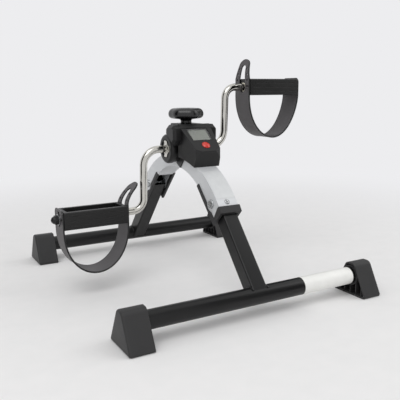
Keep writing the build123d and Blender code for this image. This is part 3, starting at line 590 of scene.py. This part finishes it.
@dataclass
class TensionKnob:
    """Hand knob that a palm turns: soft lobes, a dished top and a waisted neck.

    The profile gives radius and height up the knob. The hollows between lobes start at
    lobe_from_mm from the axis and are full lobe_reach_mm further out.
    """

    dresser: Dresser
    lobes: int = 6
    lobe_depth_mm: float = 1.9
    lobe_from_mm: float = 13.0
    lobe_reach_mm: float = 12.0
    lobe_power: float = 1.1
    steps: int = 180
    profile_mm: tuple[tuple[float, float], ...] = (
        (4.3, 0.0), (9.0, 0.0), (9.0, 1.0), (8.6, 4.5), (9.4, 6.2), (14.0, 7.2),
        (21.0, 7.4), (25.4, 8.6), (27.8, 11.2), (28.5, 14.6), (28.1, 18.0), (26.4, 21.2),
        (23.4, 23.4), (20.0, 24.3), (17.4, 24.2), (15.6, 23.4), (13.0, 22.5), (8.0, 21.8),
        (0.4, 21.6),
    )

    def build(self) -> bpy.types.Object:
        """Make the knob in place of its stand-in.

        Returns:
            The dressed piece.
        """
        low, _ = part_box("tension_knob")
        centre = middle("tension_knob")
        rings = []
        for radius, height in self.profile_mm:
            share = min(1.0, max(0.0, (radius - self.lobe_from_mm) / self.lobe_reach_mm))
            ring = []
            for step in range(self.steps):
                turn = 2 * math.pi * step / self.steps
                hollow = (0.5 - 0.5 * math.cos(self.lobes * turn)) ** self.lobe_power
                r = (radius - self.lobe_depth_mm * hollow * share) * MM
                ring.append(
                    Vector((
                        centre.x + r * math.sin(turn),
                        centre.y + r * math.cos(turn),
                        low.z + height * MM,
                    ))
                )
            rings.append(ring)
        points, faces = lofted(rings)
        faces = [face[::-1] for face in faces]
        faces.append(tuple(len(points) - self.steps + k for k in reversed(range(self.steps))))
        piece = mesh_piece("palm_knob", points, faces, "tension_knob")
        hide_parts("tension_knob")
        round_off = piece.modifiers.new("round_off", "SUBSURF")
        round_off.levels = round_off.render_levels = 1
        self.dresser.dress(piece, GLOSS_ABS)
        return piece


@dataclass
class PedalStrap:
    """Moulded foot strap: a rimmed band hung under the pedal, with a slotted pull tail.

    Heights are above the spindle, and distances along are from the pedal's inner end. The
    band runs from the tail's tip down the inner end, round the loop and up the outer end,
    where a keyhole hooks over the pedal's boss.
    """

    dresser: Dresser
    side: str
    tail_lean_mm: float
    outer_slant: float
    inner_slant: float = 0.92
    length_mm: float = 100.0
    gap_mm: float = 0.2
    half_height_mm: float = 13.5
    thick_mm: float = 2.0
    rim_mm: float = 0.7
    rim_width_mm: float = 1.7
    edge_width_mm: float = 0.6
    edge_drop_mm: float = 0.35
    half_width_mm: float = 20.8
    drop_mm: float = 85.0
    tail_mm: float = 45.8
    tail_half_mm: float = 12.0
    tail_bend: float = 1.7
    tail_taper: float = 0.8
    tip_mm: float = 8.0
    tip_half_mm: float = 0.3
    plate_rise_mm: float = 29.0
    plate_corner_mm: float = 5.0
    plate_bow: float = 0.11
    open_reach_mm: float = 3.0
    slot_share: float = 0.40
    slot_low_mm: float = -8.0
    slot_below_tip_mm: float = 9.0
    boss_hole_mm: float = 6.9
    key_half_mm: float = 3.4
    key_reach_mm: float = 12.0
    peg_y_mm: float = 15.0
    peg_z_mm: float = 2.0
    peg_hole_mm: float = 1.7
    rail_holes_mm: tuple[float, ...] = (2.0, 12.0, 21.0, 30.0)
    tail_steps: int = 60
    end_steps: int = 24
    end_steps_on_tail: int = 20
    loop_steps: int = 120
    plate_steps: int = 20
    columns: int = 42

    def route(self) -> list[Step]:
        """Middle line of the band, from the tail's tip to the end plate.

        Returns:
            Points along the pedal and up, in millimetres, and whether each is on the tail.
        """
        inner = -self.thick_mm / 2 - self.gap_mm
        outer = self.length_mm + self.thick_mm / 2 + self.gap_mm
        line: list[Step] = []
        for step in range(self.tail_steps):
            up = 1.0 - step / self.tail_steps
            height = self.half_height_mm + (self.tail_mm - self.half_height_mm) * up
            line.append((inner - self.tail_lean_mm * up**self.tail_bend, height, True))
        for step in range(self.end_steps):
            height = self.half_height_mm * (1 - 2 * step / self.end_steps)
            line.append((inner, height, step < self.end_steps_on_tail))
        centre, half = (inner + outer) / 2, (outer - inner) / 2
        depth = self.drop_mm - self.half_height_mm
        for step in range(self.loop_steps + 1):
            turn = math.pi * step / self.loop_steps
            power = self.inner_slant if turn < math.pi / 2 else self.outer_slant
            line.append((
                centre - half * math.cos(turn),
                -self.half_height_mm - depth * math.sin(turn) ** power,
                False,
            ))
        for step in range(1, self.plate_steps + 1):
            rise = self.plate_rise_mm * step / self.plate_steps
            line.append((outer, -self.half_height_mm + rise, False))
        return line

    def half_width(self, height: float, tail: bool) -> float:
        """Find half the band's width, which is rounded off at both free ends.

        Args:
            height: Height above the spindle, in millimetres.
            tail: Whether the point is on the tail.

        Returns:
            Half the width, in millimetres.
        """
        if not tail:
            rise = height - (self.half_height_mm - self.plate_corner_mm)
            return self.half_width_mm - (0.0 if rise <= 0 else self.plate_bow * rise**2)
        if height <= self.half_height_mm:
            return self.half_width_mm
        share = (height - self.half_height_mm) / (self.tail_mm - self.half_height_mm)
        narrowing = (self.tail_half_mm - self.half_width_mm) * share**self.tail_taper
        tip = (self.tail_mm - height) / self.tip_mm
        rounding = math.sqrt(1 - (1 - tip) ** 2) if tip < 1 else 1.0
        return (self.half_width_mm + narrowing) * rounding + self.tip_half_mm

    def is_open(self, along: float, height: float, across: float, half: float) -> bool:
        """Whether a point of the band is cut away.

        Args:
            along: Distance from the pedal's inner end.
            height: Height above the spindle.
            across: Distance from the band's middle line.
            half: Half the band's width there.

        Returns:
            True inside the tail's slot, a peg hole or the end plate's keyhole.
        """
        on_outer = along > self.length_mm and height > -self.half_height_mm
        if on_outer:
            round_hole = math.hypot(across, height) < self.boss_hole_mm
            cross = abs(across) < self.key_half_mm and abs(height) < self.key_reach_mm
            peg_off = math.hypot(abs(across) - self.peg_y_mm, height - self.peg_z_mm)
            return round_hole or cross or peg_off < self.peg_hole_mm
        if along > self.open_reach_mm or height < self.slot_low_mm:
            return False
        slot_top = self.tail_mm - self.slot_below_tip_mm
        slot = self.slot_share * half
        if self.slot_low_mm < height < slot_top:
            near_end = min(height - self.slot_low_mm, slot_top - height)
            if near_end < slot:
                slot = math.sqrt(max(0.0, slot**2 - (slot - near_end) ** 2))
            if abs(across) < slot:
                return True
        rail = (self.slot_share + 1.0) / 2 * half
        return any(
            math.hypot(abs(across) - rail, height - hole) < self.peg_hole_mm
            for hole in self.rail_holes_mm
        )

    def skin(self, route: list[Step]) -> list[Vector]:
        """Place the points of the band's two faces.

        Args:
            route: The band's middle line.

        Returns:
            The points of the face below, then of the one above, row by row, in metres.
        """
        bushes = f"pedal_bushes_{self.side}"
        bush = middle(bushes)
        out, inner_x = inner_end(bushes, self.side)
        points: list[Vector] = []
        for layer in (-1.0, 1.0):
            for row, (along, height, tail) in enumerate(route):
                before, after = route[max(0, row - 1)], route[min(len(route) - 1, row + 1)]
                slope = Vector((after[0] - before[0], after[1] - before[1])).normalized()
                normal = Vector((-slope.y, slope.x))
                half = self.half_width(height, tail)
                for column in range(self.columns + 1):
                    across = half * (2 * column / self.columns - 1)
                    edge = half - abs(across)
                    rim = self.rim_mm if edge < self.rim_width_mm else 0.0
                    soft = self.edge_drop_mm if edge < self.edge_width_mm else 0.0
                    off = layer * (self.thick_mm / 2 + rim * 0.5 - soft)
                    points.append(
                        Vector((
                            inner_x + out * (along + normal.x * off) * MM,
                            bush.y + across * MM,
                            bush.z + (height + normal.y * off) * MM,
                        ))
                    )
        return points

    def shell(self, route: list[Step]) -> tuple[list, list[int]]:
        """Join the points into a closed shell that leaves the openings out.

        Args:
            route: The band's middle line.

        Returns:
            The faces, and for each face 1 on the rim or 0 on the broad face.
        """
        cells: list[list[bool]] = []
        rim_cells: list[list[int]] = []
        for along, height, tail in route[:-1]:
            half = self.half_width(height, tail)
            shares = [2 * (column + 0.5) / self.columns - 1 for column in range(self.columns)]
            cells.append([not self.is_open(along, height, half * k, half) for k in shares])
            rim_cells.append([int(half * (1 - abs(k)) < self.rim_width_mm) for k in shares])
        width = self.columns + 1
        upper = width * len(route)
        faces: list[tuple[int, ...]] = []
        painted_shade_faces: list[int] = []
        for row, kept in enumerate(cells):
            for column, solid in enumerate(kept):
                if not solid:
                    continue
                a = row * width + column
                ring = (a, a + 1, a + 1 + width, a + width)
                faces.append(ring)
                faces.append(tuple(i + upper for i in reversed(ring)))
                painted_shade_faces.extend([rim_cells[row][column]] * 2)
                beside = (
                    (row - 1, column, ring[0], ring[1]),
                    (row, column + 1, ring[1], ring[2]),
                    (row + 1, column, ring[2], ring[3]),
                    (row, column - 1, ring[3], ring[0]),
                )
                for r, c, first, second in beside:
                    inside = 0 <= r < len(cells) and 0 <= c < self.columns and cells[r][c]
                    if not inside:
                        faces.append((second, first, first + upper, second + upper))
                        painted_shade_faces.append(1)
        return faces, painted_shade_faces

    def build(self) -> bpy.types.Object:
        """Make the strap in place of its stand-in.

        Returns:
            The dressed piece.
        """
        route = self.route()
        faces, painted_shade_faces = self.shell(route)
        if self.side == "right":
            faces = [face[::-1] for face in faces]
        name, body = f"foot_strap_{self.side}", f"pedal_{self.side}"
        piece = mesh_piece(name, self.skin(route), faces, body)
        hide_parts(f"pedal_strap_{self.side}")
        self.dresser.dress(piece, STRAP_PVC)
        # The rim and side walls get a near-black copy of the strap's PVC as painted shade.
        piece.data.materials.append(self.dresser.material(STRAP_RIM_PAINTED_SHADE))
        piece.data.polygons.foreach_set("material_index", painted_shade_faces)
        return piece


@dataclass
class SkinScrew:
    """Pan-head cross-slot screw through the outer skin of an arm.

    The seat is given by y_mm and z_mm, and the head leans out from upright by tilt_deg.
    """

    dresser: Dresser
    place: str
    head_mm: float = 4.2
    height_mm: float = 2.0
    sunk_mm: float = 0.5
    crown: float = 0.6
    slot_half_mm: float = 0.55
    slot_reach_mm: float = 2.4
    slot_depth_mm: float = 0.9
    y_mm: float = 130.0
    z_mm: float = 148.6
    tilt_deg: float = 50.3
    steps: int = 48
    rings: int = 12

    def build(self) -> bpy.types.Object:
        """Make the screw's head.

        Returns:
            The dressed piece.
        """
        toward = -1.0 if self.place == "front" else 1.0
        tilt = math.radians(self.tilt_deg)
        normal = Vector((0.0, toward * math.sin(tilt), math.cos(tilt)))
        side = Vector((1.0, 0.0, 0.0))
        up = normal.cross(side)
        seat = Vector((0.0, toward * self.y_mm, self.z_mm)) * MM
        loops = []
        for ring in range(self.rings + 1):
            share = ring / self.rings
            r = self.head_mm * math.cos(share * math.pi / 2) ** self.crown
            dome = self.height_mm * math.sin(share * math.pi / 2) - self.sunk_mm
            loop = []
            for step in range(self.steps):
                turn = 2 * math.pi * step / self.steps
                across, along = r * math.cos(turn), r * math.sin(turn)
                near, far = sorted((abs(across), abs(along)))
                slot = near < self.slot_half_mm and far < self.slot_reach_mm
                lift = dome - (self.slot_depth_mm if slot else 0.0)
                loop.append(seat + (side * across + up * along + normal * lift) * MM)
            loops.append(loop)
        points, faces = lofted(loops)
        piece = mesh_piece(f"skin_screw_{self.place}", points, faces, "housing")
        self.dresser.dress(piece, ZINC_STEEL)
        return piece


@dataclass
class StarClip:
    """Push-on spring clip over the crank rod, its prongs bent outward.

    The outline follows a wave round the rod: it starts to widen where the wave passes
    prong_from and is at its widest prong_blend further up.
    """

    dresser: Dresser
    side: str
    prongs: int = 4
    outer_mm: float = 13.4
    waist_mm: float = 9.2
    bore_mm: float = 6.05
    thick_mm: float = 0.9
    gap_mm: float = 0.15
    rise_mm: float = 2.6
    collar_slope: float = 3.5
    prong_lift_mm: float = 0.9
    prong_from: float = 0.28
    prong_blend: float = 0.3
    rings: int = 7
    steps: int = 96

    def radius(self, turn: float) -> float:
        """Find the outline's radius, wide at the prongs and narrow between.

        Args:
            turn: The angle round the rod, in radians.

        Returns:
            The radius in millimetres.
        """
        wave = 0.5 + 0.5 * math.cos(self.prongs * turn)
        lift = min(1.0, max(0.0, (wave - self.prong_from) / self.prong_blend))
        return self.waist_mm + (self.outer_mm - self.waist_mm) * lift * lift * (3 - 2 * lift)

    def build(self) -> bpy.types.Object:
        """Make the clip in place of its flat stand-in.

        Returns:
            The dressed piece.
        """
        node = f"star_clip_{self.side}"
        out, seat = inner_end(node, self.side)
        centre = middle(node)
        points: list[Vector] = []
        faces: list[tuple[int, ...]] = []
        for layer_mm in (0.0, self.thick_mm):
            for ring in range(self.rings):
                share = ring / (self.rings - 1)
                for step in range(self.steps):
                    turn = 2 * math.pi * step / self.steps
                    edge = self.radius(turn)
                    r = self.bore_mm + (edge - self.bore_mm) * share
                    collar = max(0.0, 1.0 - share * self.collar_slope)
                    prong = max(0.0, (r - self.waist_mm) / (self.outer_mm - self.waist_mm))
                    dish = self.rise_mm * collar**2 + self.prong_lift_mm * prong
                    x = self.gap_mm + dish + layer_mm
                    points.append(about_x(seat + out * x * MM, centre, r, turn))
        count = self.rings * self.steps
        for step in range(self.steps):
            after = (step + 1) % self.steps
            for ring in range(self.rings - 1):
                a, b = ring * self.steps + step, ring * self.steps + after
                c, d = b + self.steps, a + self.steps
                faces.append((a, b, c, d) if out > 0 else (d, c, b, a))
                upper = (count + d, count + c, count + b, count + a)
                faces.append(upper if out > 0 else upper[::-1])
            for ring, flip in ((0, 1), (self.rings - 1, -1)):
                a, b = ring * self.steps + step, ring * self.steps + after
                wall = (a, count + a, count + b, b)[:: flip * (1 if out > 0 else -1)]
                faces.append(wall)
        piece = mesh_piece(f"spring_clip_{self.side}", points, faces, "crank")
        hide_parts(node)
        self.dresser.dress(piece, CHROME)
        return piece


@dataclass
class WeldBead:
    """Ring of weld where a leg tube is set on its foot bar."""

    dresser: Dresser
    place: str
    bead_mm: float = 1.6
    bead_height: float = 0.75
    bead_width: float = 0.9
    bar_mm: float = 12.7
    above_bar_mm: float = 0.2
    half_tube_mm: float = 12.0
    beside_tube_mm: float = 0.3
    leg_lean_deg: float = 40.8
    arc_deg: float = 146.0
    ripple: float = 0.12
    ripple_rate: float = 1.9
    steps: int = 90
    section: int = 8

    def ring(self, bar: Vector, side: float, step: int) -> list[Vector]:
        """Place one section of a bead.

        Args:
            bar: A point on the foot bar's axis, in metres.
            side: -1 for the bead left of the tube, 1 for the one right of it.
            step: How far round the bar the section is.

        Returns:
            The section's points, in metres.
        """
        toward = 1.0 if self.place == "front" else -1.0
        lean = toward * math.radians(self.leg_lean_deg)
        turn = (step / self.steps - 0.5) * math.radians(self.arc_deg) + lean
        tall = self.bead_mm * (1.0 + self.ripple * math.sin(step * self.ripple_rate))
        points = []
        for k in range(self.section):
            spin = 2 * math.pi * k / self.section
            r = self.bar_mm + self.above_bar_mm + tall * self.bead_height * math.sin(spin)
            x = side * (self.half_tube_mm + self.beside_tube_mm)
            x += self.bead_mm * self.bead_width * math.cos(spin)
            points.append(about_x(x * MM, bar, r, turn))
        return points

    def build(self) -> bpy.types.Object:
        """Make the two beads, one each side of the tube, in one piece.

        Returns:
            The dressed piece.
        """
        bar = middle(f"foot_bar_{self.place}")
        points: list[Vector] = []
        faces: list[tuple[int, ...]] = []
        for side in (-1.0, 1.0):
            start = len(points)
            rings = [self.ring(bar, side, step) for step in range(self.steps + 1)]
            bead, skin = lofted(rings)
            points.extend(bead)
            faces.extend(tuple(start + k for k in face) for face in skin)
            faces.append(tuple(start + k for k in range(self.section)))
            last = start + self.steps * self.section
            faces.append(tuple(last + k for k in reversed(range(self.section))))
        piece = mesh_piece(f"weld_bead_{self.place}", points, faces, f"leg_{self.place}")
        self.dresser.dress(piece, BLACK_POWDER)
        return piece


def seen_directly(tree: bpy.types.NodeTree) -> bpy.types.NodeSocket:
    """Tell the rays that show a surface from the ones that light the object.

    Args:
        tree: The node tree of the surface or the world.

    Returns:
        1 for a ray from the camera, a reflection or clear plastic, and 0 for the others.
    """
    ray = add(tree, "ShaderNodeLightPath")
    seen = add(
        tree,
        "ShaderNodeMath",
        {0: ray.outputs["Is Camera Ray"], 1: ray.outputs["Is Glossy Ray"]},
        operation="ADD",
    )
    shown = add(
        tree,
        "ShaderNodeMath",
        {0: seen.outputs["Value"], 1: ray.outputs["Is Transmission Ray"]},
        operation="ADD",
        use_clamp=True,
    )
    return shown.outputs["Value"]


@dataclass
class Studio:
    """Pale seamless sweep, soft lamps and the camera.

    Lengths are in metres. The sweep glows, to the eye only, from glow_from out to glow_to
    away from the object, so that it stays pale behind and keeps the shadow underneath.
    """

    floor_code: str = "#EDECEC"
    fibre_code: str = "#E6E6E6"
    fibre_mm: float = 2.5
    wall_code: str = "#EDEDEF"
    card_code: str = "#050505"
    sweep_front: float = -6.0
    sweep_back: float = 3.2
    sweep_radius: float = 1.6
    sweep_steps: int = 24
    sweep_top: float = 5.0
    half_width: float = 6.0
    glow_from: float = 0.3
    glow_to: float = 1.3
    sky: float = 0.72
    sky_seen: float = 0.85
    key_power: float = 14.0
    fill_power: float = 5.5
    aim_height: float = 0.12
    card_half_height: float = 0.9
    camera_at: tuple[float, float, float] = (-0.4325, -0.815, 0.308)
    camera_azimuth_deg: float = -29.45
    camera_elevation_deg: float = 10.96
    camera_roll_deg: float = -0.44
    lens_mm: float = 50.67
    sensor_mm: float = 36.0
    view_reach: float = 50.0

    def floor(self) -> None:
        """Lay the sweep: a floor that curves up into a wall behind the object."""
        profile = [(self.sweep_front, 0.0), (self.sweep_back, 0.0)]
        for step in range(1, self.sweep_steps + 1):
            turn = math.pi / 2 * step / self.sweep_steps
            y = self.sweep_back + self.sweep_radius * math.sin(turn)
            profile.append((y, self.sweep_radius * (1 - math.cos(turn))))
        profile.append((profile[-1][0], self.sweep_top))
        points = [(x, y, z) for y, z in profile for x in (-self.half_width, self.half_width)]
        faces = [(2 * i, 2 * i + 1, 2 * i + 3, 2 * i + 2) for i in range(len(profile) - 1)]
        sweep = mesh_object("paper_sweep", points, faces)
        sweep.data.shade_smooth()
        # Seamless background paper: matt off-white with a fine fibre.
        material = bpy.data.materials.new("seamless_paper")
        material.use_nodes = True
        tree = material.node_tree
        tree.nodes.clear()
        fibre = add(
            tree, "ShaderNodeTexNoise", {"Scale": 1.0 / (self.fibre_mm * MM), "Detail": 3.0}
        )
        tone = add(
            tree,
            "ShaderNodeMix",
            {0: fibre.outputs["Fac"], 6: linear(self.floor_code), 7: linear(self.fibre_code)},
            data_type="RGBA",
        )
        paper = add(
            tree, "ShaderNodeBsdfPrincipled", {"Base Color": tone.outputs[2], "Roughness": 0.9}
        )
        place = add(tree, "ShaderNodeTexCoord")
        away = add(
            tree,
            "ShaderNodeVectorMath",
            {0: place.outputs["Object"]},
            operation="LENGTH",
        )
        far = add(
            tree,
            "ShaderNodeMapRange",
            {
                "Value": away.outputs["Value"],
                "From Min": self.glow_from,
                "From Max": self.glow_to,
            },
            interpolation_type="SMOOTHSTEP",
        )
        glow = add(
            tree,
            "ShaderNodeMath",
            {0: seen_directly(tree), 1: far.outputs["Result"]},
            operation="MULTIPLY",
        )
        wall = add(
            tree,
            "ShaderNodeEmission",
            {"Color": linear(self.wall_code), "Strength": 1.0},
        )
        mixed = add(
            tree,
            "ShaderNodeMixShader",
            {0: glow.outputs["Value"], 1: paper.outputs["BSDF"], 2: wall.outputs["Emission"]},
        )
        add(tree, "ShaderNodeOutputMaterial", {"Surface": mixed.outputs["Shader"]})
        sweep.data.materials.append(material)

    def world(self) -> None:
        """Light everything evenly from all round, as a bright white room does."""
        scene = bpy.context.scene
        scene.world = bpy.data.worlds.new("white_room")
        scene.world.use_nodes = True
        tree = scene.world.node_tree
        tree.nodes.clear()
        strength = add(
            tree,
            "ShaderNodeMapRange",
            {"Value": seen_directly(tree), "To Min": self.sky, "To Max": self.sky_seen},
        )
        room = add(
            tree,
            "ShaderNodeBackground",
            {"Color": (1.0, 1.0, 1.0, 1.0), "Strength": strength.outputs["Result"]},
        )
        add(tree, "ShaderNodeOutputWorld", {"Surface": room.outputs["Background"]})

    def lamp(self, name: str, at: Vector, size: float, power: float) -> None:
        """Hang one soft box that faces the object.

        Args:
            name: The lamp's name.
            at: Where it hangs, in metres.
            size: Its side, in metres.
            power: Its output in watts.
        """
        light = bpy.data.lights.new(name, "AREA")
        light.size = size
        light.energy = power
        lamp = bpy.data.objects.new(name, light)
        lamp.location = at
        aim = Vector((0.0, 0.0, self.aim_height)) - at
        lamp.rotation_mode = "QUATERNION"
        lamp.rotation_quaternion = aim.to_track_quat("-Z", "Y")
        bpy.context.scene.collection.objects.link(lamp)

    def flag(self, name: str, at: Vector, width: float) -> None:
        """Stand a black card out of sight, so that bright metal has a dark edge to show.

        Args:
            name: The card's name.
            at: Its middle, in metres.
            width: Its width, in metres.
        """
        side = Vector((-at.y, at.x, 0.0)).normalized() * width / 2
        rise = Vector((0.0, 0.0, self.card_half_height))
        corners = [at - side - rise, at + side - rise, at + side + rise, at - side + rise]
        card = mesh_object(name, corners, [(0, 1, 2, 3)])
        # Black felt on the card: matt, so that bright metal reflects plain darkness.
        material = bpy.data.materials.new(f"{name}_felt")
        material.use_nodes = True
        felt = material.node_tree.nodes["Principled BSDF"]
        felt.inputs["Base Color"].default_value = linear(self.card_code)
        felt.inputs["Roughness"].default_value = 1.0
        card.data.materials.append(material)
        card.visible_camera = False
        card.visible_shadow = False
        card.visible_diffuse = False

    def camera(self) -> None:
        """Stand the camera at the left front, a little above the crank."""
        data = bpy.data.cameras.new("camera")
        data.sensor_width = self.sensor_mm
        data.lens = self.lens_mm
        data.clip_end = self.view_reach
        camera = bpy.data.objects.new("camera", data)
        azimuth = math.radians(self.camera_azimuth_deg)
        elevation = math.radians(self.camera_elevation_deg)
        back = Vector((
            math.sin(azimuth) * math.cos(elevation),
            -math.cos(azimuth) * math.cos(elevation),
            math.sin(elevation),
        ))
        turn = (-back).to_track_quat("-Z", "Y").to_matrix()
        roll = Matrix.Rotation(math.radians(self.camera_roll_deg), 3, "Z")
        camera.matrix_world = Matrix.Translation(self.camera_at) @ (turn @ roll).to_4x4()
        bpy.context.scene.collection.objects.link(camera)
        bpy.context.scene.camera = camera

    def build(self) -> None:
        """Set up floor, light and camera."""
        self.floor()
        self.world()
        self.lamp("key_softbox", Vector((-0.9, -0.9, 1.9)), 1.4, self.key_power)
        self.lamp("fill_softbox", Vector((1.5, -0.8, 1.3)), 1.2, self.fill_power)
        self.flag("left_flag", Vector((-0.84, 0.09, 0.5)), 0.6)
        self.flag("right_flag", Vector((0.48, -0.74, 0.5)), 0.4)
        self.flag("rear_flag", Vector((0.75, 0.65, 0.5)), 0.4)
        self.camera()
        bpy.context.scene.view_settings.view_transform = "Standard"


def main() -> None:
    """Load the frame, build each sub-assembly in order and light the scene."""
    logging.basicConfig(level=logging.INFO, format="%(message)s")
    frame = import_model()
    dresser = Dresser()
    CarriedOver(dresser).dress(frame["nodes"])
    TensionKnob(dresser).build()
    PedalStrap(dresser, "left", tail_lean_mm=24.0, outer_slant=0.9).build()
    PedalStrap(dresser, "right", tail_lean_mm=-7.5, outer_slant=1.25).build()
    for side in ("left", "right"):
        StarClip(dresser, side).build()
    for place in ("front", "rear"):
        WeldBead(dresser, place).build()
        SkinScrew(dresser, place).build()
    Studio().build()


if __name__ == "__main__":
    main()
